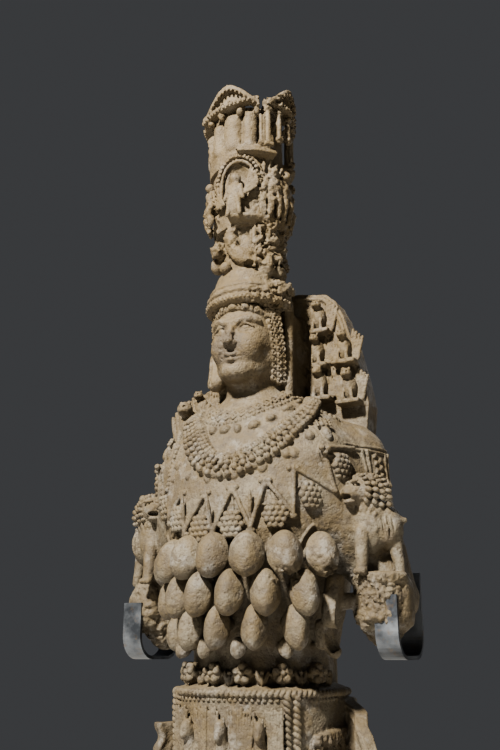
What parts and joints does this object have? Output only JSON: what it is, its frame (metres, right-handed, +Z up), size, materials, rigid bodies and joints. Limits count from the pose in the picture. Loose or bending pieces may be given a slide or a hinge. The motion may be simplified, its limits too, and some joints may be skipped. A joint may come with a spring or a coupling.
{
  "type": "goddess statue",
  "caption": "Tall marble cult statue of a many-breasted goddess with a tiered crown, round nimbus, lions on the sleeves, a panelled sheath skirt, steel arm cradles and a low base.",
  "frame": {"origin": "middle of the plinth's underside, on the floor", "axes": "+Z up, the goddess faces -Y, her left arm is on +X"},
  "size_m": [0.7286, 0.56, 2.92],
  "materials": {
    "statue_marble": "aged, pitted marble with ochre and grey stains, unpolished",
    "plinth_marble": "tooled marble block, matt",
    "strap_steel": "dull brushed flat bar"
  },
  "bodies": {
    "root": {"statue": "statue_marble", "plinth": "plinth_marble", "arm_strap_left": "strap_steel", "arm_strap_right": "strap_steel"}
  },
  "joints": []
}
